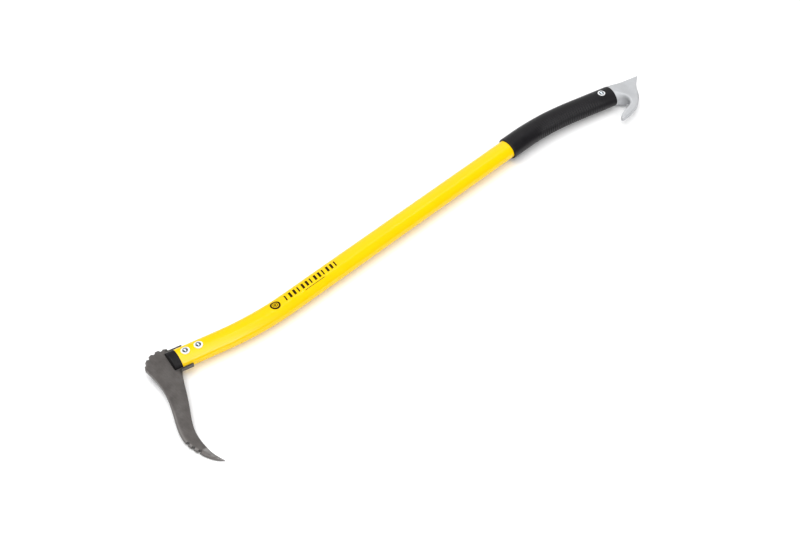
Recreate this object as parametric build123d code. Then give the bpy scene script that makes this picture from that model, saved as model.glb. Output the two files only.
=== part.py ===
from build123d import *
import os
from math import cos, radians, sin

# A timber pickaroon: a forged steel beak on an S-bent oval aluminium tube, with a rubber
# sleeve and a cast end hook at the other end. Millimetres. The tool lies on its side, so
# the beak, the end hook and both bends of the handle lie in the level plane z = MID_PLANE.
#
# Three working frames are used, all with their origin in the tool's mid-plane:
#   bend frame   origin at the head bend's corner, +X along the middle of the handle
#   mouth frame  origin on the tube's axis near its head end, +X along the tube, towards the bend
#   end frame    origin on the tube's axis near its other end, +X along the tube, away from the bend

# ---- handle tube ----
TUBE_A = 18.0              # half width of the oval, in the tool's plane
TUBE_B = 12.0              # half height of the oval
TUBE_WALL = 2.0
BEND_SPAN = 641.0          # from the head bend's corner to the grip bend's corner
HEAD_BEND = 13.7           # degrees
GRIP_BEND = 14.0           # degrees
BEND_RADIUS = 500.0
MOUTH_TO_BEND = 129.6      # mouth frame's origin to the head bend's corner
BEND_TO_END = 124.7        # grip bend's corner to the end frame's origin
TUBE_HEAD_X = 2.0          # where the tube starts, in the mouth frame
TUBE_END_X = 10.0          # where the tube ends, in the end frame

# ---- head ----
BLADE_THICK = 6.0
TANG_THICK = 5.4           # the tang is relieved below the cheeks
TANG_HALF_WIDTH = 11.0
TANG_END_X = 47.0
SOCKET_X = -11.0           # bottom of the slot between the prongs
PRONG_GAP = 0.15           # between the tube's side and a prong
PRONG_WIDTH = 3.15
PRONG_END_X = 17.0
PRONG_ROUND = 1.2
HEEL_CENTRE = (-17.5, -1.0)
HEEL_CREST = 29.2
HEEL_ROOT = 26.4
HEEL_TEETH = 5
HEEL_FIRST = 68.0          # degrees
HEEL_PITCH = 23.5          # degrees
CREST_HALF = 5.5           # degrees
ROOT_HALF = 2.25           # degrees
TOOTH_ROUND = 0.8
BACK_EDGE = [(-42.6, -14.0), (-40.4, -42.0), (-43.1, -68.0), (-48.8, -94.0), (-53.7, -118.0),
             (-54.4, -138.0), (-51.4, -152.0), (-45.8, -165.0), (-37.3, -180.0), (-28.7, -189.4)]
BEAK_TIP = (-21.4, -194.3)
INNER_EDGE = [(-26.4, -184.3), (-31.6, -170.0), (-34.9, -148.0), (-33.9, -127.0),
              (-27.5, -103.0), (-19.5, -79.0), (-11.5, -51.0), (-5.0, -30.0)]
BARBS = [(-51.8, -143.3), (-48.8, -153.4), (-43.7, -163.4)]
BARB_RADIUS = 2.2
POINT_START = -163.0       # the beak thins from here to its tip
POINT_THICK = 2.4

# ---- plastic shims between tang and tube ----
FIT = 0.1                  # clearance between parts that slide together by hand
SHIM_END_X = 46.0
COLLAR_ROUND = 2.5         # on the front edge of the collar, outside the tube

# ---- rivets and washers ----
RIVET_RADIUS = 2.5
RIVET_HOLE = 2.6
RIVET_HEAD_RADIUS = 4.4
RIVET_HEAD_HEIGHT = 3.0
WASHER_THICK = 1.2
WASHER_HOLE = 2.7
WASHER_RADIUS = 6.5
GRIP_WASHER_SEAT = 14.0    # height of the flat seat above the mid-plane
HEAD_RIVETS = {"front": 14.5, "rear": 35.0}   # places on X in the mouth frame
GRIP_RIVET_X = -3.3        # in the end frame

# ---- grip sleeve ----
SLEEVE_WALL = 2.8
SLEEVE_START = 92.8        # on the axis, before the grip bend's corner
SLEEVE_START_SLANT = 9.0   # degrees: its far side starts later
SLEEVE_END_X = 18.6        # on the axis, in the end frame
SLEEVE_END_SLANT = 4.0     # degrees: its far side ends later
SLEEVE_ROUND = 1.2

# ---- end hook ----
HOOK_THICK = 9.0
HOOK_OUTER = [(90.5, 17.5), (75.0, 0.0), (68.0, -10.0), (62.0, -21.6), (48.0, -39.6),
              (28.0, -53.6), (6.0, -61.2)]
FINGER_TIP = [(-1.0, -63.0), (-4.8, -61.2), (-3.4, -57.0)]
HOOK_INNER = [(3.0, -51.6), (14.0, -46.0), (26.0, -40.2), (33.0, -35.0), (34.6, -29.5),
              (30.5, -23.8), (22.0, -19.0)]
THROAT_X = 16.0            # where the plate's throat meets its lower edge, inside the neck
HOOK_ROUND = 1.5
HORN_ROUND = 1.0
NECK_A = 20.0
NECK_B = 14.0
NECK_STATIONS = [(36.0, 19.4, 11.5), (47.0, 18.4, 6.5), (54.0, 17.4, 3.4)]
SPIGOT_LENGTH = 45.0       # from the tube's end inwards
NECK_START = -8.0          # from the sleeve's end

# ---- cutting tools, larger than what they cut ----
CUTTER = 200.0
OVERRUN = 10.0             # how far a tool or a blank runs past the cut

# ---- where the pieces stand in the row's frame ----
CENTRE = (320.2, -45.1)     # middle of the whole tool's outline, in the bend frame
MID_PLANE = GRIP_WASHER_SEAT + WASHER_THICK + RIVET_HEAD_HEIGHT

HEAD_DIR = (-cos(radians(HEAD_BEND)), sin(radians(HEAD_BEND)))
GRIP_DIR = (cos(radians(GRIP_BEND)), -sin(radians(GRIP_BEND)))
BEND_FRAME = Pos(-CENTRE[0], -CENTRE[1], MID_PLANE)
MOUTH_FRAME = (BEND_FRAME * Pos(MOUTH_TO_BEND * HEAD_DIR[0], MOUTH_TO_BEND * HEAD_DIR[1], 0)
               * Rot(0, 0, -HEAD_BEND))
END_FRAME = (BEND_FRAME * Pos(BEND_SPAN + BEND_TO_END * GRIP_DIR[0],
                              BEND_TO_END * GRIP_DIR[1], 0) * Rot(0, 0, -GRIP_BEND))


def oval_bar(half_width, half_height, x_from, x_to):
    """A straight oval bar along X, centred on the X axis."""
    section = Plane((x_from, 0, 0), x_dir=(0, 1, 0), z_dir=(1, 0, 0)) * Ellipse(half_width, half_height)
    return extrude(section, x_to - x_from)


def bent_oval(half_width, half_height, path):
    """An oval bar swept along a level path."""
    section = Plane(path @ 0, x_dir=(0, 0, 1), z_dir=path % 0) * Ellipse(half_height, half_width)
    return sweep(section, path=path)


def polar(centre, radius, degrees):
    return (centre[0] + radius * cos(radians(degrees)), centre[1] + radius * sin(radians(degrees)))


def drill(x, radius):
    """A vertical cutter through the whole tool at x on the working frame's X axis."""
    return Pos(x, 0, 0) * Cylinder(radius, CUTTER)


def beyond(x, slant, way=1):
    """Everything past the upright plane that crosses the X axis at x; way is +1 or -1 along X.
    A positive slant, in degrees, moves the plane towards +X on the +Y side."""
    return Pos(x, 0, 0) * Rot(0, 0, -slant) * Pos(way * CUTTER / 2, 0, 0) * Box(CUTTER, CUTTER, CUTTER)


# ---- the two bent pieces, in the bend frame ----
def handle_path():
    tube_head = MOUTH_TO_BEND - TUBE_HEAD_X
    tube_end = BEND_TO_END + TUBE_END_X
    corners = [
        (tube_head * HEAD_DIR[0], tube_head * HEAD_DIR[1]),
        (0, 0),
        (BEND_SPAN, 0),
        (BEND_SPAN + tube_end * GRIP_DIR[0], tube_end * GRIP_DIR[1]),
    ]
    return FilletPolyline(*corners, radius=BEND_RADIUS)


def sleeve_path():
    overlong = BEND_TO_END + SLEEVE_END_X + OVERRUN
    corners = [
        (BEND_SPAN - SLEEVE_START - OVERRUN, 0),
        (BEND_SPAN, 0),
        (BEND_SPAN + overlong * GRIP_DIR[0], overlong * GRIP_DIR[1]),
    ]
    return FilletPolyline(*corners, radius=BEND_RADIUS)


def handle_tube():
    path = handle_path()
    tube = bent_oval(TUBE_A, TUBE_B, path) - bent_oval(TUBE_A - TUBE_WALL, TUBE_B - TUBE_WALL, path)
    tube = BEND_FRAME * tube
    for x in HEAD_RIVETS.values():
        tube -= MOUTH_FRAME * drill(x, RIVET_HOLE)
    return tube - END_FRAME * drill(GRIP_RIVET_X, RIVET_HOLE)


def grip_sleeve():
    path = sleeve_path()
    outside = bent_oval(TUBE_A + SLEEVE_WALL, TUBE_B + SLEEVE_WALL, path)
    outside -= beyond(BEND_SPAN - SLEEVE_START, SLEEVE_START_SLANT, -1)
    outside = BEND_FRAME * outside - END_FRAME * beyond(SLEEVE_END_X, SLEEVE_END_SLANT)
    end_faces = outside.faces().filter_by(GeomType.PLANE)
    outside = fillet(end_faces.edges(), SLEEVE_ROUND)
    sleeve = outside - BEND_FRAME * bent_oval(TUBE_A + FIT, TUBE_B + FIT, path)
    sleeve -= END_FRAME * drill(GRIP_RIVET_X, RIVET_HOLE)
    pocket = Cylinder(WASHER_RADIUS + FIT, OVERRUN, align=(Align.CENTER, Align.CENTER, Align.MIN))
    for side in (0, 180):
        sleeve -= END_FRAME * Rot(side, 0, 0) * Pos(GRIP_RIVET_X, 0, GRIP_WASHER_SEAT) * pocket
    return sleeve


# ---- the head, in the mouth frame ----
def heel_points():
    points = []
    for i in range(HEEL_TEETH):
        middle = HEEL_FIRST + i * HEEL_PITCH
        flank = HEEL_PITCH / 2 - ROOT_HALF
        points.append(polar(HEEL_CENTRE, HEEL_ROOT, middle - flank))
        points.append(polar(HEEL_CENTRE, HEEL_CREST, middle - CREST_HALF))
        points.append(polar(HEEL_CENTRE, HEEL_CREST, middle + CREST_HALF))
        if i < HEEL_TEETH - 1:
            points.append(polar(HEEL_CENTRE, HEEL_ROOT, middle + flank))
    return points


def blade_outline():
    prong_in = TUBE_A + PRONG_GAP
    prong_out = prong_in + PRONG_WIDTH
    heel = heel_points()
    shoulder = (-1.5, -prong_out)
    outline = [
        Polyline((SOCKET_X, prong_in), (PRONG_END_X, prong_in), (PRONG_END_X, prong_out),
                 (heel[0][0], prong_out), *heel[1:]),
        Spline(heel[-1], *BACK_EDGE, BEAK_TIP),
        Spline(BEAK_TIP, *INNER_EDGE, shoulder),
        Polyline(shoulder, (PRONG_END_X, -prong_out), (PRONG_END_X, -prong_in),
                 (SOCKET_X, -prong_in), (SOCKET_X, prong_in)),
    ]
    return make_face(outline)


def is_heel_corner(vertex):
    """True for the corners of the heel's teeth, and not for those of the slot or the back edge."""
    from_centre = Vector(vertex.X, vertex.Y) - Vector(*HEEL_CENTRE)
    return vertex.X < -2.5 and vertex.Y > 5 and from_centre.length > HEEL_ROOT - 2


def sappie_blade():
    face = blade_outline()
    corners = [v for v in face.vertices() if is_heel_corner(v)]
    face = fillet(corners, TOOTH_ROUND)
    prong_corners = [v for v in face.vertices() if v.X > PRONG_END_X - 1]
    face = fillet(prong_corners, PRONG_ROUND)
    for barb in BARBS:
        face -= Pos(*barb) * Circle(BARB_RADIUS)
        mouth = Rectangle(OVERRUN, 2 * BARB_RADIUS, align=(Align.MAX, Align.CENTER))
        face -= Pos(*barb) * mouth
    blade = extrude(face, BLADE_THICK / 2, both=True)
    root = SOCKET_X - TANG_THICK / 2
    root_end = (Align.MIN, Align.CENTER, Align.CENTER)
    tang = Box(TANG_END_X - root, 2 * TANG_HALF_WIDTH, TANG_THICK, align=root_end)
    blade += Pos(root, 0, 0) * tang
    for x in HEAD_RIVETS.values():
        blade -= drill(x, RIVET_HOLE)
    wedge = point_wedge()
    blade -= wedge
    blade -= mirror(wedge, Plane.XY)
    return MOUTH_FRAME * blade


def point_wedge():
    """What is ground off the upper face of the beak, from POINT_START to its tip and past it."""
    drop = (BLADE_THICK - POINT_THICK) / 2
    run = POINT_START - BEAK_TIP[1]
    profile = Polyline((0, POINT_START, BLADE_THICK / 2), (0, POINT_START - 2 * run, BLADE_THICK / 2),
                       (0, POINT_START - 2 * run, BLADE_THICK / 2 - 2 * drop),
                       (0, POINT_START, BLADE_THICK / 2))
    return extrude(make_face(profile), CUTTER, both=True)


def tang_shim(side):
    """Half of the plastic packing round the tang; side is +1 above and -1 below the tang."""
    collar = oval_bar(TUBE_A, TUBE_B, SOCKET_X, TUBE_HEAD_X)
    collar = fillet(collar.edges().group_by(Axis.X)[0], COLLAR_ROUND)
    plug = oval_bar(TUBE_A - TUBE_WALL - FIT, TUBE_B - TUBE_WALL - FIT, TUBE_HEAD_X, SHIM_END_X)
    half = (collar + plug) & Pos(0, 0, side * CUTTER / 2) * Box(CUTTER, CUTTER, CUTTER)
    half -= Box(CUTTER, 2 * (TANG_HALF_WIDTH + FIT), TANG_THICK + 2 * FIT)
    for x in HEAD_RIVETS.values():
        half -= drill(x, RIVET_HOLE)
    return MOUTH_FRAME * half


# ---- fasteners ----
def rivet(reach):
    """A domed rivet on Z whose heads sit at plus and minus reach."""
    sphere_radius = (RIVET_HEAD_RADIUS ** 2 + RIVET_HEAD_HEIGHT ** 2) / (2 * RIVET_HEAD_HEIGHT)
    cap = Pos(0, 0, sphere_radius) * Box(CUTTER, CUTTER, 2 * RIVET_HEAD_HEIGHT)
    dome = Sphere(sphere_radius) & cap
    dome = Pos(0, 0, reach + RIVET_HEAD_HEIGHT - sphere_radius) * dome
    return Cylinder(RIVET_RADIUS, 2 * reach) + dome + Rot(180, 0, 0) * dome


def saddle_washer(x, side):
    """A washer bent over the tube; side is +1 above and -1 below."""
    x_from, x_to = x - WASHER_RADIUS - OVERRUN, x + WASHER_RADIUS + OVERRUN
    skin = oval_bar(TUBE_A + WASHER_THICK, TUBE_B + WASHER_THICK, x_from, x_to)
    skin -= oval_bar(TUBE_A, TUBE_B, x_from, x_to)
    disc = Pos(x, 0, side * TUBE_B) * (Cylinder(WASHER_RADIUS, TUBE_B) - Cylinder(WASHER_HOLE, TUBE_B))
    return MOUTH_FRAME * (skin & disc)


def flat_washer(side):
    disc = Cylinder(WASHER_RADIUS, WASHER_THICK) - Cylinder(WASHER_HOLE, WASHER_THICK)
    return END_FRAME * Pos(GRIP_RIVET_X, 0, side * (GRIP_WASHER_SEAT + WASHER_THICK / 2)) * disc


# ---- end hook, in the end frame ----
def hook_outline():
    far_side = HOOK_OUTER[0][1]
    start = (SLEEVE_END_X - OVERRUN, far_side)
    near_side = (start[0], -far_side)
    outline = [
        Line(start, HOOK_OUTER[0]),
        Spline(*HOOK_OUTER, FINGER_TIP[0]),
        Spline(*FINGER_TIP),
        Spline(FINGER_TIP[-1], *HOOK_INNER),
        Polyline(HOOK_INNER[-1], (THROAT_X, -far_side), near_side, start),
    ]
    face = make_face(outline)
    return fillet([v for v in face.vertices() if v.X > HOOK_OUTER[0][0] - 1], HORN_ROUND)


def end_hook():
    sections = []
    for x, half_width, half_height in [(SLEEVE_END_X + NECK_START, NECK_A, NECK_B)] + NECK_STATIONS:
        plane = Plane((x, 0, 0), x_dir=(0, 1, 0), z_dir=(1, 0, 0))
        sections.append(plane * Ellipse(half_width, half_height))
    neck = loft(sections)
    plate = extrude(hook_outline(), HOOK_THICK / 2, both=True)
    round_edges = [edge for edge in plate.edges() if abs(edge.center().Z) > HOOK_THICK / 2 - 0.1]
    plate = fillet(round_edges, HOOK_ROUND)
    sleeve_end = beyond(SLEEVE_END_X, SLEEVE_END_SLANT)
    throat_side = Pos(0, -TUBE_A - SLEEVE_WALL - CUTTER / 2, 0) * Box(CUTTER, CUTTER, CUTTER)
    body = (plate + neck) & (sleeve_end + throat_side)
    collar = oval_bar(TUBE_A - FIT, TUBE_B - FIT, TUBE_END_X, SLEEVE_END_X + OVERRUN) - sleeve_end
    spigot = oval_bar(TUBE_A - TUBE_WALL - FIT, TUBE_B - TUBE_WALL - FIT,
                      TUBE_END_X - SPIGOT_LENGTH, TUBE_END_X)
    hook = body + collar + spigot - drill(GRIP_RIVET_X, RIVET_HOLE)
    return END_FRAME * hook


def build_nodes():
    nodes = {
        "sappie_blade": sappie_blade(),
        "handle_tube": handle_tube(),
        "tang_shim_upper": tang_shim(1),
        "tang_shim_lower": tang_shim(-1),
        "grip_sleeve": grip_sleeve(),
        "end_hook": end_hook(),
        "grip_rivet": END_FRAME * Pos(GRIP_RIVET_X, 0, 0) * rivet(GRIP_WASHER_SEAT + WASHER_THICK),
        "grip_washer_upper": flat_washer(1),
        "grip_washer_lower": flat_washer(-1),
    }
    for place, x in HEAD_RIVETS.items():
        nodes[f"head_rivet_{place}"] = MOUTH_FRAME * Pos(x, 0, 0) * rivet(TUBE_B + WASHER_THICK)
        nodes[f"head_washer_{place}_upper"] = saddle_washer(x, 1)
        nodes[f"head_washer_{place}_lower"] = saddle_washer(x, -1)
    return nodes


os.makedirs("parts", exist_ok=True)
for name, shape in build_nodes().items():
    export_step(shape, f"parts/{name}.step")
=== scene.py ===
from math import ceil, cos, pi, radians, sin, sqrt, tan

import bpy
import numpy as np
from mathutils import Matrix, Vector
from mathutils.geometry import delaunay_2d_cdt


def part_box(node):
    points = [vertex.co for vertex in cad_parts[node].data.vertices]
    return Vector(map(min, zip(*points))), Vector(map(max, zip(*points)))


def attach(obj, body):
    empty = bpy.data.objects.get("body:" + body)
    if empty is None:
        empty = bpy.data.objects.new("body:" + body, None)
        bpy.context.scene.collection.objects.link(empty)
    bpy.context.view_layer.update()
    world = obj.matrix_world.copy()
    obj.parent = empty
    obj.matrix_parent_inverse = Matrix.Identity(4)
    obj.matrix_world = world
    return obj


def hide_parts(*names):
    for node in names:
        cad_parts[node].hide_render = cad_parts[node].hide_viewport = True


# A timber pickaroon lying on its side. Lengths are millimetres until place() turns them into
# the row frame's metres. The working frames are those of the part: mouth (the head, with +X
# along the tube towards the grip), bend (the middle of the handle) and end (the grip's end,
# with +X away from the handle). All three have z = 0 in the tool's own middle plane.

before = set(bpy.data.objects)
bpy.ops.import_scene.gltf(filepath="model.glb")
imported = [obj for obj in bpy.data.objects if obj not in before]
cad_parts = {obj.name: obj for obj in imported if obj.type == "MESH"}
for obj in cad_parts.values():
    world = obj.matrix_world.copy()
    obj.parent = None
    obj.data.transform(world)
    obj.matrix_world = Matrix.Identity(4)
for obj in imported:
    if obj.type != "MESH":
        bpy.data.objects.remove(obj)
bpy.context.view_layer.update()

MM = 0.001

# ---- the part's driving sizes ----
TUBE_A = 18.0
TUBE_B = 12.0
TUBE_WALL = 2.0
BEND_SPAN = 641.0
HEAD_BEND = 13.7
GRIP_BEND = 14.0
BEND_RADIUS = 500.0
MOUTH_TO_BEND = 129.6
BEND_TO_END = 124.7
TUBE_HEAD_X = 2.0
TUBE_END_X = 10.0
CENTRE = (320.2, -45.1)
MID_PLANE = 18.2

SLEEVE_WALL = 2.8
SLEEVE_START = 92.8
SLEEVE_START_SLANT = 9.0
SLEEVE_END_X = 18.6
SLEEVE_END_SLANT = 4.0
SLEEVE_ROUND = 1.2

BLADE_HALF = 3.0
SOCKET_X = -11.0
PRONG_GAP = 0.15
PRONG_WIDTH = 3.15
PRONG_END_X = 17.0
HEEL_CENTRE = (-17.5, -1.0)
HEEL_CREST = 29.2
HEEL_ROOT = 26.4
HEEL_TEETH = 5
HEEL_FIRST = 68.0
HEEL_PITCH = 23.5
CREST_HALF = 5.5
ROOT_HALF = 2.25
TOOTH_ROUND = 0.8
BACK_EDGE = [(-42.6, -14.0), (-40.4, -42.0), (-43.1, -68.0), (-48.8, -94.0), (-53.7, -118.0),
             (-54.4, -138.0), (-51.4, -152.0), (-45.8, -165.0), (-37.3, -180.0), (-28.7, -189.4)]
BEAK_TIP = (-21.4, -194.3)
INNER_EDGE = [(-26.4, -184.3), (-31.6, -170.0), (-34.9, -148.0), (-33.9, -127.0),
              (-27.5, -103.0), (-19.5, -79.0), (-11.5, -51.0), (-5.0, -30.0)]
BARBS = [(-51.8, -143.3), (-48.8, -153.4), (-43.7, -163.4)]
BARB_RADIUS = 2.2
POINT_START = -163.0
POINT_HALF = 1.2

# ---- finer shape of the blade ----
SHOULDER_X = -1.5
PRONG_ROUND = 1.2
EDGE_ROUND = 0.6
EDGE_HALF_LEAST = 0.35       # the least half thickness before the edge's rounding comes off
BEVEL_WIDTH = 3.5
BEVEL_SLOPE = 0.42
BEVEL_GROWS = (25.0, 120.0)  # how far down the blade the bevel starts, and is full width
POINT_SLOPE = 0.22
GROUND_FROM = (162.5, 165.0)
OUTLINE_SPACING = 1.0

# ---- finer shape of the tube and the sleeve; lengths along the handle's axis ----
TUBE_EDGE = 0.5
RIB_PITCH = 4.9
RIB_DEPTH = 0.9
RIB_START = 42.0             # before the grip bend's corner
RIB_END_X = 4.0
RIB_FADE = (30.0, 50.0)      # over what length the ribs begin and end
SLANT_FADE = 60.0            # how far the ends' slant reaches into the sleeve
RING_STEP = 0.7
LIP_STEP = 1.2
LIP_STEPS = 6

# ---- print on the tube; lengths along the handle's axis and round its skin ----
INK_PROUD = 0.05
MARK_DISC = (36.0, 1.5)
MARK_RINGS = [(0.15, 1.8), (2.9, 4.1), (5.2, 8.2)]
MARK_BARS = (54.0, 162.0)
MARK_COUNT = 13
MARK_HEIGHT = (-3.4, 7.2)
MARK_LEAN = 2.6
MARK_SHARES = (0.3, 0.5, 0.5)   # bar widths in turn, as shares of their step
MARK_LINE = (88.0, 127.0)
MARK_LINE_HEIGHT = (-7.4, -6.5)

# ---- the end hook's outline and rim, in the end frame ----
HOOK_HALF = 4.5
NECK_HALF = 13.9
HOOK_ROOT_X = (16.4, 19.2)
HOOK_ROOT_Y = 19.9
RIM_CREASE = 0.3

HOOK_FAR_SIDE = [(HOOK_ROOT_X[1], HOOK_ROOT_Y), (30.0, 19.7), (40.0, 19.1), (50.0, 18.2),
                 (62.0, 17.6), (88.8, 17.5)]
HORN_CENTRE = (88.9, 16.5)
HORN_RADIUS = 1.0
HOOK_OUTER = [(89.7, 15.9), (75.0, 0.0), (68.0, -10.0), (62.0, -21.6), (48.0, -39.6),
              (28.0, -53.6), (6.0, -61.2)]
FINGER_TIP = [(-1.0, -63.0), (-4.8, -61.2), (-3.4, -57.0)]
HOOK_INNER = [(3.0, -51.6), (14.0, -46.0), (26.0, -40.2), (33.0, -35.0), (34.6, -29.5),
              (30.5, -23.8)]
HOOK_NEAR_SIDE = [(26.0, -20.9), (HOOK_ROOT_X[0], -HOOK_ROOT_Y)]
# the rim's shape at places round the outline: place, rounding width, upright half wall
HOOK_RIM = [
    ((HOOK_ROOT_X[1], HOOK_ROOT_Y), HOOK_ROOT_Y, 0.0),
    ((36.0, 19.4), 15.5, 0.7),
    ((46.0, 18.5), 9.0, 1.7),
    ((56.0, 17.8), 3.4, 2.6),
    ((70.0, 17.5), 2.0, 2.9),
    ((89.8, 16.5), 1.8, 2.8),
    ((75.0, 0.0), 2.6, 2.0),
    ((62.0, -21.6), 3.6, 1.4),
    ((48.0, -39.6), 3.8, 1.4),
    ((28.0, -53.6), 3.8, 1.6),
    ((6.0, -61.2), 3.2, 1.8),
    ((-4.4, -61.2), 2.6, 1.8),
    ((3.0, -51.6), 1.4, 3.0),
    ((14.0, -46.0), 1.4, 3.0),
    ((26.0, -40.2), 2.0, 2.8),
    ((33.0, -35.0), 3.2, 2.8),
    ((34.6, -29.5), 4.0, 3.6),
    ((30.5, -23.8), 4.0, 5.0),
    ((25.0, -20.4), 5.5, 4.0),
    ((HOOK_ROOT_X[0], -HOOK_ROOT_Y), HOOK_ROOT_Y, 0.0),
]

# ---- the studio; places and sizes are metres in the row frame, the lens is millimetres ----
FLOOR_HALF = 6.0
FLOOR_GLOW = 0.1
ROOM_LIGHT = 0.04
BACK_WALL = 0.55
# the back wall grows from dark to full between these components of direction along X and Y
BACK_WALL_RIGHT = (0.41, 0.5)
BACK_WALL_BEHIND = (-0.05, 0.5)
# slabs: middle and half size in the level components of direction, soft edge, strength
OVERHEAD = ((-0.13, 0.0), (0.37, 0.8), 0.24, 3.05)
STRIP = ((0.507, 0.16), (0.3, 0.02), 0.02, 4.0)
# a round box: direction, inner and outer half angle in degrees, strength
FRONT_BOX = ((0.02, -0.8, 0.62), 5, 12, 3.0)
LENS = 61.65
SENSOR = 36.0
CAMERA_PLACE = (-1.14005, -1.0399, 1.4812)
CAMERA_TARGET = (-0.09173, -0.01942, 0.0182)

# ---- working frames ----
HEAD_DIR = Vector((-cos(radians(HEAD_BEND)), sin(radians(HEAD_BEND)), 0))
GRIP_DIR = Vector((cos(radians(GRIP_BEND)), -sin(radians(GRIP_BEND)), 0))
BEND = Matrix.Translation((-CENTRE[0], -CENTRE[1], MID_PLANE))
MOUTH = (BEND @ Matrix.Translation(MOUTH_TO_BEND * HEAD_DIR)
         @ Matrix.Rotation(-radians(HEAD_BEND), 4, "Z"))
END = (BEND @ Matrix.Translation(Vector((BEND_SPAN, 0, 0)) + BEND_TO_END * GRIP_DIR)
       @ Matrix.Rotation(-radians(GRIP_BEND), 4, "Z"))


def place(name, local, verts, faces, material, slot, replaces=(), crease=35.0, **marks):
    """Makes one piece from millimetre points in a working frame. Each of marks is a number for
    each point, which a material can read."""
    mesh = bpy.data.meshes.new(name)
    to_row = Matrix.Scale(MM, 4) @ local
    mesh.from_pydata([to_row @ Vector(v) for v in verts], [], faces)
    for mark, values in marks.items():
        mesh.attributes.new(mark, "FLOAT", "POINT").data.foreach_set("value", values)
    mesh.shade_smooth()
    mesh.set_sharp_from_angle(angle=radians(crease))
    mesh.materials.append(material)
    piece = bpy.data.objects.new(name, mesh)
    bpy.context.scene.collection.objects.link(piece)
    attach(piece, "root")
    if replaces:
        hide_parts(*replaces)
    return piece


# ---- curves and outlines ----
def smoothstep(low, high, value):
    t = np.clip((np.asarray(value, float) - low) / (high - low), 0, 1)
    return t * t * (3 - 2 * t)


def spline(points, spacing):
    """Points about spacing apart on the natural cubic through these points."""
    p = np.array(points, float)
    n = len(p)
    t = np.concatenate([[0], np.cumsum(np.linalg.norm(np.diff(p, axis=0), axis=1))])
    h = np.diff(t)
    left = np.eye(n)
    right = np.zeros_like(p)
    for i in range(1, n - 1):
        left[i, i - 1:i + 2] = h[i - 1], 2 * (h[i - 1] + h[i]), h[i]
        right[i] = 6 * ((p[i + 1] - p[i]) / h[i] - (p[i] - p[i - 1]) / h[i - 1])
    bend = np.linalg.solve(left, right)
    at = np.linspace(0, t[-1], ceil(t[-1] / spacing) + 1)
    k = np.clip(np.searchsorted(t, at, side="right") - 1, 0, n - 2)
    step = h[k][:, None]
    b = ((at - t[k]) / h[k])[:, None]
    a = 1 - b
    curve = a * p[k] + b * p[k + 1] + ((a**3 - a) * bend[k] + (b**3 - b) * bend[k + 1]) * step**2 / 6
    return [tuple(q) for q in curve]


def line(start, end, spacing):
    n = max(1, ceil(sqrt((end[0] - start[0]) ** 2 + (end[1] - start[1]) ** 2) / spacing))
    return [(start[0] + (end[0] - start[0]) * i / n, start[1] + (end[1] - start[1]) * i / n)
            for i in range(n + 1)]


def arc(centre, radius, start, end, steps):
    """Points from one angle to another, in degrees."""
    angles = [radians(start + (end - start) * i / steps) for i in range(steps + 1)]
    return [(centre[0] + radius * cos(a), centre[1] + radius * sin(a)) for a in angles]


def rounded(corners, radius, steps=4):
    """An open run of straight edges whose inner corners are rounded."""
    points = [corners[0]]
    for before, corner, after in zip(corners, corners[1:], corners[2:]):
        c = Vector(corner)
        u = (Vector(before) - c).normalized()
        v = (Vector(after) - c).normalized()
        half = u.angle(v) / 2
        reach = radius / tan(half)
        middle = c + (u + v).normalized() * radius / sin(half)
        first = c + u * reach - middle
        turn = first.angle_signed(c + v * reach - middle)
        for i in range(steps + 1):
            points.append(tuple(middle + Matrix.Rotation(-turn * i / steps, 2) @ first))
    return points + [corners[-1]]


def chain(*runs):
    """Joins runs of points into one closed loop without doubled points."""
    loop = []
    for point in (p for run in runs for p in run):
        if not loop or (Vector(point) - Vector(loop[-1])).length > 1e-4:
            loop.append(point)
    if (Vector(loop[0]) - Vector(loop[-1])).length < 1e-4:
        loop.pop()
    return np.array(loop)


def nearest(points, loop, closed=True):
    """For each point, its distance to a line and the place on it, counted in the line's points."""
    start = loop if closed else loop[:-1]
    run = np.roll(loop, -1, axis=0) - loop if closed else np.diff(loop, axis=0)
    length_squared = (run**2).sum(1)
    distance = np.empty(len(points))
    place_on = np.empty(len(points))
    for low in range(0, len(points), 400):
        chunk = points[low:low + 400]
        away = chunk[:, None, :] - start[None]
        t = np.clip((away * run).sum(2) / length_squared, 0, 1)
        gap = np.linalg.norm(away - t[..., None] * run, axis=2)
        best = gap.argmin(1)
        rows = np.arange(len(chunk))
        distance[low:low + 400] = gap[rows, best]
        place_on[low:low + 400] = best + t[rows, best]
    return distance, place_on


def along(values, place_on):
    """A value given at each loop point, read between the points."""
    values = np.asarray(values, float)
    low = np.floor(place_on).astype(int)
    share = place_on - low
    n = len(values)
    return values[low % n] * (1 - share) + values[(low + 1) % n] * share


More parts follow.
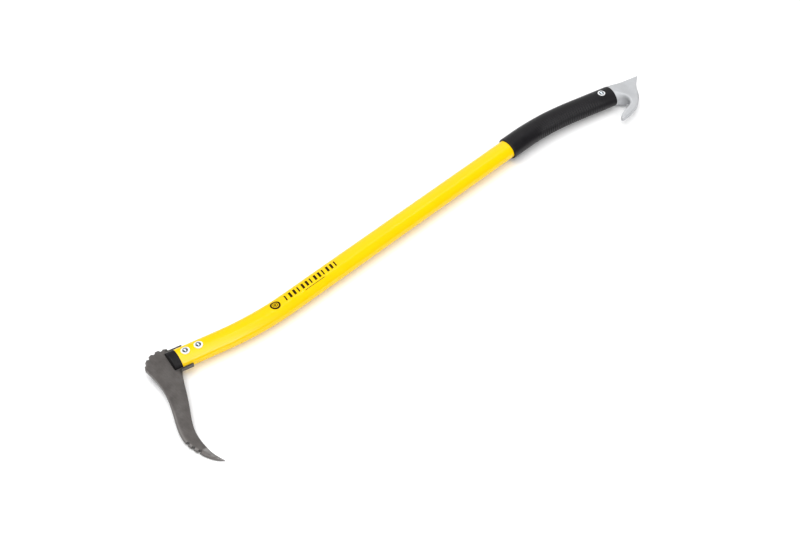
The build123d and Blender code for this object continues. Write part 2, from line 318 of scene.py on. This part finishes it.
def inflated(loop, edge_width, steps, interior, height):
    """A skin over a flat outline, the same above and below the middle plane. It is closed where
    the outline doesn't cross itself. edge_width is how far the shaped edge reaches inwards at
    each loop point, and height(points, distance) is the half thickness. Returns points, faces
    and each point's distance inwards."""
    turn = np.roll(loop, -1, axis=0) - np.roll(loop, 1, axis=0)
    inwards = np.stack([-turn[:, 1], turn[:, 0]], 1) / np.linalg.norm(turn, axis=1)[:, None]
    area = (loop[:, 0] * np.roll(loop[:, 1], -1) - np.roll(loop[:, 0], -1) * loop[:, 1]).sum()
    if area < 0:
        inwards = -inwards
    extra = []
    for share in steps:
        reach = np.asarray(edge_width) * share
        ring = loop + inwards * reach[:, None]
        true_reach, _ = nearest(ring, loop)
        extra.append(ring[true_reach > reach * 0.97])
    low, high = loop.min(0), loop.max(0)
    rows = np.arange(low[1], high[1], interior * 0.866)
    grid = np.array([(x + (interior / 2 if j % 2 else 0), y) for j, y in enumerate(rows)
                     for x in np.arange(low[0], high[0], interior)])
    reach, place_on = nearest(grid, loop)
    extra.append(grid[reach > along(edge_width, place_on) * steps[-1] + interior * 0.6])
    points = np.concatenate([loop] + extra)
    ring_edges = [(i, (i + 1) % len(loop)) for i in range(len(loop))]
    flat, _, triangles, sources, _, _ = delaunay_2d_cdt(
        [Vector(p) for p in points], ring_edges, [], 1, 1e-5)
    used = sorted({v for t in triangles for v in t})
    renumbered = {old: new for new, old in enumerate(used)}
    triangles = [[renumbered[v] for v in t] for t in triangles]
    on_rim = {s: renumbered[i] for i in used for s in sources[i] if s < len(loop)}
    flat = np.array([tuple(flat[i]) for i in used])
    distance, _ = nearest(flat, loop)
    z = height(flat, distance)
    n = len(flat)
    verts = [(x, y, h) for (x, y), h in zip(flat, z)]
    verts += [(x, y, -h) for x, y, h in verts]
    faces = [tuple(t) for t in triangles]
    faces += [tuple(v + n for v in reversed(t)) for t in triangles]
    for i in range(len(loop)):
        a, b = on_rim[i], on_rim[(i + 1) % len(loop)]
        wall = (a, a + n, b + n, b)
        faces.append(wall if area > 0 else tuple(reversed(wall)))
    return verts, faces, np.concatenate([distance, distance])


# ---- materials ----
def ramp_points(node, stops):
    ramp = node.color_ramp
    while len(ramp.elements) < len(stops):
        ramp.elements.new(0.5)
    for element, (position, colour) in zip(ramp.elements, stops):
        element.position = position
        element.color = (*colour, 1)


def map_range(node, start, end, low, high):
    node.inputs["From Min"].default_value = start
    node.inputs["From Max"].default_value = end
    node.inputs["To Min"].default_value = low
    node.inputs["To Max"].default_value = high


class Finish:
    """A principled material and short calls for the noise that varies it."""

    def __init__(self, name, **settings):
        self.material = bpy.data.materials.new(name)
        self.material.use_nodes = True
        self.nodes = self.material.node_tree.nodes
        self.links = self.material.node_tree.links
        self.shader = self.nodes["Principled BSDF"]
        for socket, value in settings.items():
            self.shader.inputs[socket.replace("_", " ")].default_value = value
        self.coordinates = self.nodes.new("ShaderNodeTexCoord").outputs["Object"]
        self.height = None

    def noise(self, size, detail=3.0, stretch=(1, 1, 1), turn=0.0):
        """Noise whose features are about size millimetres across, longer where stretch is small."""
        mapping = self.nodes.new("ShaderNodeMapping")
        mapping.inputs["Scale"].default_value = stretch
        mapping.inputs["Rotation"].default_value = (0, 0, radians(turn))
        self.links.new(self.coordinates, mapping.inputs["Vector"])
        texture = self.nodes.new("ShaderNodeTexNoise")
        texture.inputs["Scale"].default_value = 1 / (size * MM)
        texture.inputs["Detail"].default_value = detail
        self.links.new(mapping.outputs["Vector"], texture.inputs["Vector"])
        return texture.outputs["Fac"]

    def attribute(self, name):
        node = self.nodes.new("ShaderNodeAttribute")
        node.attribute_name = name
        return node.outputs["Fac"]

    def ramp(self, source, *stops):
        """A colour ramp; each stop is a place and a colour."""
        node = self.nodes.new("ShaderNodeValToRGB")
        ramp_points(node, stops)
        self.links.new(source, node.inputs["Fac"])
        return node.outputs["Color"]

    def value(self, source, low, high, start=0.3, end=0.7):
        node = self.nodes.new("ShaderNodeMapRange")
        map_range(node, start, end, low, high)
        self.links.new(source, node.inputs["Value"])
        return node.outputs["Result"]

    def mix(self, share, first, second, kind="MIX"):
        node = self.nodes.new("ShaderNodeMix")
        node.data_type = "RGBA"
        node.blend_type = kind
        sockets = {s.identifier: s for s in node.inputs}
        for socket, source in (("Factor_Float", share), ("A_Color", first), ("B_Color", second)):
            if isinstance(source, bpy.types.NodeSocket):
                self.links.new(source, sockets[socket])
            else:
                sockets[socket].default_value = source if socket == "Factor_Float" else (*source, 1)
        return {s.identifier: s for s in node.outputs}["Result_Color"]

    def bump(self, source, depth, strength=1.0):
        """Adds relief; depth is in millimetres."""
        node = self.nodes.new("ShaderNodeBump")
        node.inputs["Distance"].default_value = depth * MM
        node.inputs["Strength"].default_value = strength
        self.links.new(source, node.inputs["Height"])
        if self.height is not None:
            self.links.new(self.height, node.inputs["Normal"])
        self.height = node.outputs["Normal"]
        self.links.new(self.height, self.shader.inputs["Normal"])

    def set(self, socket, source):
        self.links.new(source, self.shader.inputs[socket])


def grey(level):
    return (level, level, level)


def forged_steel():
    f = Finish("forged_steel", Metallic=0.75, Roughness=0.5)
    patches = f.noise(16, 4)
    colour = f.ramp(patches, (0.3, (0.096, 0.087, 0.083)), (0.55, (0.117, 0.107, 0.102)),
                    (0.75, (0.136, 0.127, 0.122)))
    grain = f.noise(1.6, 5, stretch=(1.0, 0.22, 1), turn=-15)
    colour = f.mix(0.35, colour, f.ramp(grain, (0.35, grey(0.35)), (0.65, grey(0.62))), "OVERLAY")
    specks = f.noise(2.4, 2)
    colour = f.mix(f.value(specks, 0.0, 0.5, 0.66, 0.76), colour, (0.07, 0.06, 0.055))
    colour = f.mix(f.value(f.attribute("shade"), 0.0, 0.9, 0, 1), colour, (0.02, 0.017, 0.014))
    # on the blade this mark is lighter bare steel where it is worn and ground
    f.set("Base Color", f.mix(f.attribute("wear"), colour, (0.27, 0.26, 0.255)))
    f.set("Roughness", f.value(grain, 0.42, 0.58))
    f.bump(f.noise(7, 3), 0.12)
    f.bump(grain, 0.03)
    return f.material


def yellow_coat():
    f = Finish("yellow_coat", Roughness=0.2, Specular_IOR_Level=0.42)
    colour = f.ramp(f.noise(60, 3), (0.3, (0.95, 0.615, 0.0006)), (0.7, (0.98, 0.64, 0.0006)))
    f.set("Base Color", colour)
    f.set("Roughness", f.value(f.noise(9, 4), 0.16, 0.26))
    f.bump(f.noise(1.3, 2), 0.012)
    return f.material


def black_plastic():
    f = Finish("black_plastic", Roughness=0.5, Specular_IOR_Level=0.2)
    colour = f.ramp(f.noise(5, 4), (0.3, (0.004, 0.0034, 0.004)), (0.7, (0.007, 0.006, 0.007)))
    f.set("Base Color", colour)
    f.set("Roughness", f.value(f.noise(3, 3), 0.42, 0.6))
    f.bump(f.noise(0.7, 3), 0.03)
    return f.material


def black_rubber():
    f = Finish("black_rubber", Roughness=0.4, Specular_IOR_Level=0.32)
    colour = f.ramp(f.noise(8, 4), (0.3, (0.0036, 0.0031, 0.0042)), (0.7, (0.0068, 0.006, 0.0078)))
    f.set("Base Color", colour)
    f.set("Roughness", f.value(f.noise(4, 3), 0.34, 0.46))
    f.bump(f.noise(0.6, 3), 0.04)
    return f.material


def cast_aluminium():
    f = Finish("cast_aluminium", Metallic=0.15, Roughness=0.6, Specular_IOR_Level=0.3)
    colour = f.ramp(f.noise(11, 4), (0.3, (0.485, 0.495, 0.51)), (0.7, (0.52, 0.53, 0.545)))
    # painted shade on the wall of the throat
    colour = f.mix(f.attribute("shade"), colour, (0.2, 0.205, 0.215))
    # a painted highlight along the rim where the upper face turns down into the throat
    f.set("Base Color", f.mix(f.attribute("wear"), colour, (0.82, 0.83, 0.84)))
    f.set("Roughness", f.value(f.noise(2.5, 4), 0.52, 0.68))
    f.bump(f.noise(0.9, 3), 0.03)
    f.bump(f.noise(6, 2), 0.08)
    return f.material


def zinc_washer():
    f = Finish("zinc_washer", Metallic=0.15, Roughness=0.4)
    colour = f.ramp(f.noise(3, 3), (0.3, (0.84, 0.85, 0.86)), (0.7, (0.92, 0.93, 0.94)))
    f.set("Base Color", colour)
    f.set("Roughness", f.value(f.noise(1.5, 4), 0.34, 0.5))
    f.bump(f.noise(1.0, 3), 0.02)
    return f.material


def zinc_steel():
    f = Finish("zinc_steel", Metallic=1.0, Roughness=0.25)
    colour = f.ramp(f.noise(2.5, 3), (0.3, (0.38, 0.42, 0.46)), (0.7, (0.48, 0.52, 0.56)))
    f.set("Base Color", colour)
    f.set("Roughness", f.value(f.noise(1.2, 4), 0.2, 0.34))
    f.bump(f.noise(0.8, 3), 0.02)
    return f.material


def black_print():
    f = Finish("black_print", Roughness=0.45, Specular_IOR_Level=0.06)
    colour = f.ramp(f.noise(1.5, 3), (0.35, (0.022, 0.012, 0.001)), (0.7, (0.045, 0.027, 0.002)))
    f.set("Base Color", colour)
    f.set("Roughness", f.value(f.noise(2, 3), 0.38, 0.52))
    return f.material


def studio_floor():
    f = Finish("studio_floor", Roughness=0.9, Specular_IOR_Level=0.1, Emission_Strength=FLOOR_GLOW)
    f.set("Base Color", f.ramp(f.noise(400, 2), (0.3, grey(0.9)), (0.7, grey(0.92))))
    return f.material


# ---- the head ----
def polar(radius, degrees):
    a = radians(degrees)
    return (HEEL_CENTRE[0] + radius * cos(a), HEEL_CENTRE[1] + radius * sin(a))


def heel_points():
    points = []
    for i in range(HEEL_TEETH):
        middle = HEEL_FIRST + i * HEEL_PITCH
        flank = HEEL_PITCH / 2 - ROOT_HALF
        points += [polar(HEEL_ROOT, middle - flank), polar(HEEL_CREST, middle - CREST_HALF),
                   polar(HEEL_CREST, middle + CREST_HALF)]
        if i < HEEL_TEETH - 1:
            points.append(polar(HEEL_ROOT, middle + flank))
    return points


def back_edge_with_barbs(start, spacing):
    """The back edge from the heel to the tip, with its barb notches cut in."""
    edge = spline([start, *BACK_EDGE, BEAK_TIP], spacing)
    ys = [-y for _, y in edge]
    points = []
    cursor = edge[0][1]
    for bx, by in BARBS:
        top, bottom = by + BARB_RADIUS, by - BARB_RADIUS
        points += [(x, y) for x, y in edge if top < y <= cursor]
        points += line((np.interp(-top, ys, [x for x, _ in edge]), top), (bx, top), spacing)
        points += arc((bx, by), BARB_RADIUS, 90, -90, 12)
        points += line((bx, bottom), (np.interp(-bottom, ys, [x for x, _ in edge]), bottom), spacing)
        cursor = bottom
    return points + [(x, y) for x, y in edge if y < cursor]


def blade_loop():
    near = TUBE_A + PRONG_GAP
    far = near + PRONG_WIDTH
    heel = heel_points()
    shoulder = (SHOULDER_X, -far)
    heel[0] = (heel[0][0], far)
    upper = [(SOCKET_X, near), (PRONG_END_X, near), (PRONG_END_X, far), (0.0, far)]
    lower = [shoulder, (PRONG_END_X, -far), (PRONG_END_X, -near), (SOCKET_X, -near)]
    return chain(rounded(upper, PRONG_ROUND), rounded([upper[-1], *heel], TOOTH_ROUND),
                 back_edge_with_barbs(heel[-1], OUTLINE_SPACING),
                 spline([BEAK_TIP, *INNER_EDGE, shoulder], OUTLINE_SPACING),
                 rounded(lower, PRONG_ROUND), line(lower[-1], upper[0], 2 * OUTLINE_SPACING))


def bevel_width(y):
    """The back edge's bevel widens on its way down to the barbs."""
    return BEVEL_WIDTH * smoothstep(*BEVEL_GROWS, -y)


def sappie_blade(material):
    loop = blade_loop()
    back = np.array(spline([heel_points()[-1], *BACK_EDGE, BEAK_TIP], OUTLINE_SPACING))
    inner = np.array(spline([BEAK_TIP, *INNER_EDGE], OUTLINE_SPACING))
    width = np.full(len(loop), EDGE_ROUND)

    def height(points, distance):
        y = points[:, 1]
        thinning = np.clip((POINT_START - y) / (POINT_START - BEAK_TIP[1]), 0, 1)
        top = BLADE_HALF - (BLADE_HALF - POINT_HALF) * thinning
        from_back, _ = nearest(points, back, False)
        bevel = bevel_width(y) * (1 - 0.5 * smoothstep(165, 192, -y))
        top -= BEVEL_SLOPE * np.clip(bevel - from_back, 0, None)
        # near the tip both sides fall away from a ridge along the middle
        from_inner, _ = nearest(points, inner, False)
        ridge = np.clip(0.5 * (from_back + from_inner) - from_inner, 0, None)
        top -= POINT_SLOPE * smoothstep(0.02, 0.3, thinning) * ridge
        share = np.clip(1 - distance / EDGE_ROUND, 0, 1)
        fall = 0.8 * EDGE_ROUND * (1 - np.sqrt(1 - share**2))
        return np.maximum(top, EDGE_HALF_LEAST) - fall

    steps = (0.15, 0.45, 1.0, 2.2, 4.0, 6.5)
    verts, faces, distance = inflated(loop, width, steps, 2.4, height)
    flat = np.array([v[:2] for v in verts])
    x, y = flat.T
    from_back, _ = nearest(flat, back, False)
    from_inner, _ = nearest(flat, inner, False)
    # bare steel shows on the outline, the bevel and the ground beak
    edge = np.clip(1 - distance / 0.9, 0, 1) * 0.35
    bevel = bevel_width(y) * (1 - smoothstep(158, 168, -y))
    bevelled = 0.3 * smoothstep(0.3, -0.3, from_back - bevel) * (bevel > 0.2)
    ground = smoothstep(*GROUND_FROM, -y) * smoothstep(-0.3, 0.5, from_back - from_inner + 1.0)
    wear = np.maximum(np.maximum(edge, bevelled), ground)
    # the prongs are darker, and the barbs' notches get painted shade in their recesses
    shade = smoothstep(-9, -4, x) * (np.abs(y) > TUBE_A)
    for barb in BARBS:
        from_barb = np.hypot(x - barb[0], y - barb[1])
        shade = np.maximum(shade, smoothstep(BARB_RADIUS + 0.9, BARB_RADIUS + 0.3, from_barb))
    return place("sappie_blade_forging", MOUTH, verts, faces, material, "forged_steel",
                 ["sappie_blade"], 28, wear=wear, shade=shade)


# ---- the handle ----
HEAD_CUT = BEND_RADIUS * tan(radians(HEAD_BEND / 2))
GRIP_CUT = BEND_RADIUS * tan(radians(GRIP_BEND / 2))


def mouth_s(x):
    """Where the mouth frame's x is along the handle's axis."""
    return HEAD_CUT - BEND_RADIUS * radians(HEAD_BEND) - (MOUTH_TO_BEND - x - HEAD_CUT)


def end_s(x):
    """Where the end frame's x is along the handle's axis."""
    return BEND_SPAN - GRIP_CUT + BEND_RADIUS * radians(GRIP_BEND) + (BEND_TO_END + x - GRIP_CUT)


def axis_at(s):
    """Place and heading on the handle's axis. s is a length along it, and equals the bend frame's
    x on the middle straight."""
    if s < HEAD_CUT:
        way, base, bend = -1, HEAD_CUT, radians(HEAD_BEND)
    else:
        way, base, bend = 1, BEND_SPAN - GRIP_CUT, radians(GRIP_BEND)
    over = max(0.0, way * (s - base))
    turn = min(over / BEND_RADIUS, bend)
    rest = over - turn * BEND_RADIUS
    x = base + way * (BEND_RADIUS * sin(turn) + rest * cos(turn)) if over else s
    y = -way * (BEND_RADIUS * (1 - cos(turn)) + rest * sin(turn))
    return x, y, -turn


def on_oval(s, angle, half_width, half_height, proud=0.0):
    """A point on an oval skin round the axis; proud moves it out along the skin's normal."""
    x, y, heading = axis_at(s)
    across = half_width * cos(angle)
    up = half_height * sin(angle)
    if proud:
        normal = Vector((cos(angle) / half_width, sin(angle) / half_height)).normalized()
        across += proud * normal.x
        up += proud * normal.y
    return (x - sin(heading) * across, y + cos(heading) * across, up)


def skin(rings):
    """Points and faces of a closed skin through rings of points; the last ring joins the first."""
    count = len(rings[0])
    faces = []
    for i in range(len(rings)):
        a = i * count
        b = (i + 1) % len(rings) * count
        for j in range(count):
            k = (j + 1) % count
            faces.append((a + j, a + k, b + k, b + j))
    return [p for ring in rings for p in ring], faces


def quarter_lip(radius, steps):
    """A rounded end's profile: pairs of distance along the axis and inset from the skin."""
    turns = [pi / 2 * i / steps for i in range(steps + 1)]
    return [(radius * (1 - cos(t)), radius * (1 - sin(t))) for t in turns]


def oval_ring(s, half_width, half_height, count, slant=0.0):
    """One ring; a slant shifts its far side along the axis."""
    angles = [2 * pi * i / count for i in range(count)]
    return [on_oval(s + slant * half_width * cos(a), a, half_width, half_height) for a in angles]


def handle_tube(material):
    count = 120
    first, last = mouth_s(TUBE_HEAD_X), end_s(TUBE_END_X)
    lip = quarter_lip(TUBE_EDGE, 4)
    bore = (TUBE_A - TUBE_WALL, TUBE_B - TUBE_WALL)
    middle = np.linspace(first, last, 150)[1:-1]
    rings = [oval_ring(first, *bore, count)]
    rings += [oval_ring(first + on, TUBE_A - inset, TUBE_B - inset, count) for on, inset in lip]
    rings += [oval_ring(s, TUBE_A, TUBE_B, count) for s in middle]
    rings += [oval_ring(last - on, TUBE_A - inset, TUBE_B - inset, count) for on, inset in lip[::-1]]
    rings += [oval_ring(last, *bore, count)]
    rings += [oval_ring(s, *bore, count) for s in middle[::-4]]
    verts, faces = skin(rings)
    return place("handle_tube_coated", BEND, verts, faces, material, "yellow_coat", ["handle_tube"])


def grip_sleeve(material):
    count = 144
    first, last = BEND_SPAN - SLEEVE_START, end_s(SLEEVE_END_X)
    rib_first, rib_last = BEND_SPAN - RIB_START, end_s(RIB_END_X)
    outer_a, outer_b = TUBE_A + SLEEVE_WALL, TUBE_B + SLEEVE_WALL
    start_slant, end_slant = tan(radians(SLEEVE_START_SLANT)), tan(radians(SLEEVE_END_SLANT))
    lip = quarter_lip(SLEEVE_ROUND, LIP_STEPS)
    near_start = first + SLEEVE_ROUND + LIP_STEP * np.arange(1, LIP_STEPS + 1)
    near_end = last - SLEEVE_ROUND - LIP_STEP * np.arange(LIP_STEPS, 0, -1)
    between = np.arange(near_start[-1] + RING_STEP, near_end[0] - 0.4, RING_STEP)
    stations = [(first + on, inset) for on, inset in lip]
    stations += [(s, 0) for s in np.concatenate([near_start, between, near_end])]
    stations += [(last - on, inset) for on, inset in lip[::-1]]

    def slant_at(s):
        from_start = start_slant * float(smoothstep(SLANT_FADE, 0, s - first))
        return from_start + end_slant * float(smoothstep(SLANT_FADE, 0, last - s))

    def groove(s, angle):
        """Ribs are cut on the side that the blade points to, and fade out towards the crest."""
        on_side = smoothstep(0.0, 0.8, -cos(angle))
        begun = smoothstep(0, RIB_FADE[0], s - rib_first)
        ending = smoothstep(0, RIB_FADE[1], rib_last - s)
        wave = 0.5 - 0.5 * cos(2 * pi * (s - rib_first) / RIB_PITCH)
        return RIB_DEPTH * float(on_side * begun * ending) * wave**1.5

    rings = [oval_ring(first, TUBE_A, TUBE_B, count, start_slant)]
    for s, inset in stations:
        slant = slant_at(s)
        ring = []
        for i in range(count):
            a = 2 * pi * i / count
            here = s + slant * outer_a * cos(a)
            ring.append(on_oval(here, a, outer_a - inset, outer_b - inset, -groove(here, a)))
        rings.append(ring)
    rings.append(oval_ring(last, TUBE_A, TUBE_B, count, end_slant))
    bore = np.linspace(last, first, 40)[1:-1]
    rings += [oval_ring(s, TUBE_A, TUBE_B, count, slant_at(s)) for s in bore]
    verts, faces = skin(rings)
    return place("grip_sleeve_ribbed", BEND, verts, faces, material, "black_rubber", ["grip_sleeve"])


def ink_on_tube(s, round_skin, lift):
    """A point on the tube's skin, round_skin from its crest and lift above it."""
    return on_oval(s, pi / 2 - round_skin / TUBE_A, TUBE_A, TUBE_B, lift)


def printed(patches, material):
    """Ink on the tube. Each patch is rows of (s, distance round the skin from its crest), and is
    closed when its last row joins its first."""
    verts, faces = [], []
    for rows, closed in patches:
        start = len(verts)
        width = len(rows[0])
        under = len(rows) * width
        for lift in (INK_PROUD, -INK_PROUD):
            verts += [ink_on_tube(s, round_skin, lift) for row in rows for s, round_skin in row]

        def wall(a, b, flip):
            faces.append((a, a + under, b + under, b) if flip else (a, b, b + under, a + under))

        steps = len(rows) if closed else len(rows) - 1
        for i in range(steps):
            this = start + i * width
            following = start + (i + 1) % len(rows) * width
            for j in range(width - 1):
                a, b = this + j, following + j
                faces.append((a, b, b + 1, a + 1))
                faces.append((a + under, a + 1 + under, b + 1 + under, b + under))
            wall(this, following, True)
            wall(this + width - 1, following + width - 1, False)
        if not closed:
            for this, flip in ((start, False), (start + under - width, True)):
                for j in range(width - 1):
                    wall(this + j, this + j + 1, flip)
    return place("handle_print", BEND, verts, faces, material, "black_plastic")


def ring_patch(s, round_skin, inside, outside, steps=48):
    rows = []
    for i in range(steps):
        a = 2 * pi * i / steps
        rows.append([(s + r * cos(a), round_skin + r * sin(a)) for r in (inside, outside)])
    return rows, True


def bar_patch(start, end, low, high, lean=0.0, steps=4):
    rows = []
    for i in range(steps + 1):
        s = start + (end - start) * i / steps
        row = [(s + lean * j / steps, low + (high - low) * j / steps) for j in range(steps + 1)]
        rows.append(row)
    return rows, False


def handle_print(material):
    """A plain stand-in for a maker's print: a sawn log end, a row of bars and a fine line."""
    patches = [ring_patch(*MARK_DISC, *radii) for radii in MARK_RINGS]
    first, last = MARK_BARS
    step = (last - first) / MARK_COUNT
    for i in range(MARK_COUNT):
        s = first + i * step
        patches.append(bar_patch(s, s + step * MARK_SHARES[i % 3], *MARK_HEIGHT, MARK_LEAN))
    patches.append(bar_patch(*MARK_LINE, *MARK_LINE_HEIGHT))
    return printed(patches, material)


# ---- the end hook ----
def hook_rim():
    """The hook's outline from the sleeve's far side round to its near side."""
    far_side = spline(HOOK_FAR_SIDE, 0.9)
    horn = arc(HORN_CENTRE, HORN_RADIUS, 90, -38, 8)
    outer = spline([*HOOK_OUTER, FINGER_TIP[0]], 0.9)
    tip = spline(FINGER_TIP, 0.5)
    inner = spline([FINGER_TIP[-1], *HOOK_INNER], 0.6)
    near_side = spline([HOOK_INNER[-1], *HOOK_NEAR_SIDE], 0.6)
    return chain(far_side, horn, outer, tip, inner, near_side)


def end_hook(material):
    rim = hook_rim()
    numbers = np.arange(len(rim))
    places = [int(np.linalg.norm(rim - np.array(spot), axis=1).argmin()) for spot, _, _ in HOOK_RIM]
    width = np.interp(numbers, places, [rounding for _, rounding, _ in HOOK_RIM])
    wall = np.interp(numbers, places, [half for _, _, half in HOOK_RIM])
    root = line(rim[-1], rim[0], 1.5)[1:-1]
    loop = np.concatenate([rim, root])

    def height(points, _):
        x, y = points.T
        from_rim, rim_place = nearest(points, rim, False)
        neck = (1 - smoothstep(24, 60, x)) * smoothstep(-36, -20, y)
        top = HOOK_HALF + (NECK_HALF - HOOK_HALF) * neck
        base = np.minimum(along(wall, rim_place), top)
        throat = smoothstep(-14, -19, y) * smoothstep(17, 26, x) * smoothstep(-40, -34, y)
        share = np.clip(1 - from_rim / along(width, rim_place), 0, 1)
        share = share + (1 - share) * RIM_CREASE * throat * (share > 0)
        return base + (top - base) * np.sqrt(np.clip(1 - share**2, 0, 1))

    ring_width = np.concatenate([width, np.full(len(root), 0.4)])
    steps = (0.02, 0.07, 0.16, 0.3, 0.48, 0.7, 1.0)
    verts, faces, _ = inflated(loop, ring_width, steps, 1.8, height)
    flat = np.array([v[:2] for v in verts])
    x, y = flat.T
    from_rim, rim_place = nearest(flat, rim, False)
    # painted shade darkens the wall of the throat
    shade = smoothstep(3.0, 0.5, from_rim) * smoothstep(24, 35, x) * smoothstep(-38, -33, y)
    shade *= 0.5 * (y < -18)
    # a painted highlight brightens the edge where the upper face turns down into the throat
    turn = from_rim / along(width, rim_place)
    on_rim = rim_place / len(rim)
    inner = smoothstep(0.64, 0.7, on_rim) * smoothstep(0.995, 0.96, on_rim)
    wear = 0.28 * smoothstep(0.6, 0.85, turn) * smoothstep(1.1, 0.95, turn) * inner
    return place("end_hook_casting", END, verts, faces, material, "cast_aluminium", ["end_hook"], 50,
                 shade=shade, wear=wear)


# ---- studio ----
def contact_plane():
    """Where the tool rests: the lower domes of the grip rivet and of the rear head rivet, and the
    beak's tip."""
    feet = []
    for rivet in ("grip_rivet", "head_rivet_rear"):
        low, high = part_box(rivet)
        feet.append(Vector(((low.x + high.x) / 2, (low.y + high.y) / 2, low.z)))
    tip = Matrix.Scale(MM, 4) @ MOUTH @ Vector((*BEAK_TIP, -POINT_HALF))
    normal = (feet[1] - feet[0]).cross(tip - feet[0]).normalized()
    return feet[0], normal if normal.z > 0 else -normal


def studio(material):
    foot, normal = contact_plane()
    corners = []
    for x, y in ((-FLOOR_HALF, -FLOOR_HALF), (FLOOR_HALF, -FLOOR_HALF), (FLOOR_HALF, FLOOR_HALF),
                 (-FLOOR_HALF, FLOOR_HALF)):
        drop = (normal.x * (x - foot.x) + normal.y * (y - foot.y)) / normal.z
        corners.append((x, y, foot.z - drop))
    mesh = bpy.data.meshes.new("floor")
    mesh.from_pydata(corners, [], [(0, 1, 2, 3)])
    mesh.materials.append(material)
    floor = bpy.data.objects.new("floor", mesh)
    bpy.context.scene.collection.objects.link(floor)


class Sky:
    """The studio's light, painted on the world by direction: a wide slab overhead, a narrow strip,
    a round box in front and a pale back wall, in a dim room."""

    def __init__(self):
        world = bpy.data.worlds.new("studio")
        world.use_nodes = True
        bpy.context.scene.world = world
        self.tree = world.node_tree
        self.background = self.tree.nodes["Background"]
        self.direction = self.tree.nodes.new("ShaderNodeTexCoord").outputs["Generated"]
        self.light = None

    def math(self, operation, *values):
        node = self.tree.nodes.new("ShaderNodeMath")
        node.operation = operation
        for socket, value in zip(node.inputs, values):
            if isinstance(value, bpy.types.NodeSocket):
                self.tree.links.new(value, socket)
            else:
                socket.default_value = value
        return node.outputs[0]

    def dot(self, vector):
        node = self.tree.nodes.new("ShaderNodeVectorMath")
        node.operation = "DOT_PRODUCT"
        self.tree.links.new(self.direction, node.inputs[0])
        node.inputs[1].default_value = Vector(vector).normalized()
        return node.outputs["Value"]

    def fade(self, value, start, end, low, high):
        node = self.tree.nodes.new("ShaderNodeMapRange")
        node.interpolation_type = "SMOOTHSTEP"
        self.tree.links.new(value, node.inputs["Value"])
        map_range(node, start, end, low, high)
        return node.outputs["Result"]

    def add(self, value):
        self.light = value if self.light is None else self.math("ADD", self.light, value)

    def box(self, towards, inner, outer, strength):
        """A round soft box; inner and outer are half angles in degrees."""
        edge, core = cos(radians(outer)), cos(radians(inner))
        self.add(self.fade(self.dot(towards), edge, core, 0, strength))

    def slab(self, middle, half, soft, strength):
        """A four-sided soft light. It lies in the level components of direction, where equal
        areas light a level surface equally; soft is how wide its edges fade."""
        share = 1.0
        for axis, centre, reach in zip(((1, 0, 0), (0, 1, 0)), middle, half):
            off = self.math("ABSOLUTE", self.math("SUBTRACT", self.dot(axis), centre))
            inside = self.fade(off, reach + soft / 2, reach - soft / 2, 0, 1)
            share = self.math("MULTIPLY", share, inside)
        upper = self.fade(self.dot((0, 0, 1)), 0.0, 0.08, 0, strength)
        self.add(self.math("MULTIPLY", share, upper))

    def finish(self):
        """The camera sees a plain white room; everything else sees the lights."""
        seen = self.tree.nodes.new("ShaderNodeLightPath").outputs["Is Camera Ray"]
        lit = self.math("MULTIPLY", self.math("SUBTRACT", 1.0, seen), self.light)
        self.background.inputs["Color"].default_value = (1, 1, 1, 1)
        self.tree.links.new(self.math("ADD", seen, lit), self.background.inputs["Strength"])


def lights():
    sky = Sky()
    right = sky.fade(sky.dot((1, 0, 0)), *BACK_WALL_RIGHT, 0, 1)
    behind = sky.fade(sky.dot((0, 1, 0)), *BACK_WALL_BEHIND, 0, BACK_WALL)
    sky.add(sky.math("ADD", sky.math("MULTIPLY", right, behind), ROOM_LIGHT))
    sky.slab(*OVERHEAD)
    sky.slab(*STRIP)
    sky.box(*FRONT_BOX)
    sky.finish()


def camera():
    data = bpy.data.cameras.new("camera")
    data.lens = LENS
    data.sensor_width = SENSOR
    data.clip_end = 20.0
    eye = bpy.data.objects.new("camera", data)
    eye.location = CAMERA_PLACE
    looking = Vector(CAMERA_TARGET) - Vector(CAMERA_PLACE)
    eye.rotation_euler = looking.to_track_quat("-Z", "Y").to_euler()
    bpy.context.scene.collection.objects.link(eye)
    bpy.context.scene.camera = eye


def finish_nodes(names, material):
    for name in names:
        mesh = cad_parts[name].data
        mesh.materials.clear()
        mesh.materials.append(material)


sappie_blade(forged_steel())
handle_tube(yellow_coat())
handle_print(black_print())
grip_sleeve(black_rubber())
end_hook(cast_aluminium())
finish_nodes(["tang_shim_upper", "tang_shim_lower"], black_plastic())
finish_nodes([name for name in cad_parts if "rivet" in name], zinc_steel())
finish_nodes([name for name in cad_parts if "washer" in name], zinc_washer())
studio(studio_floor())
lights()
camera()
bpy.context.scene.view_settings.view_transform = "Standard"
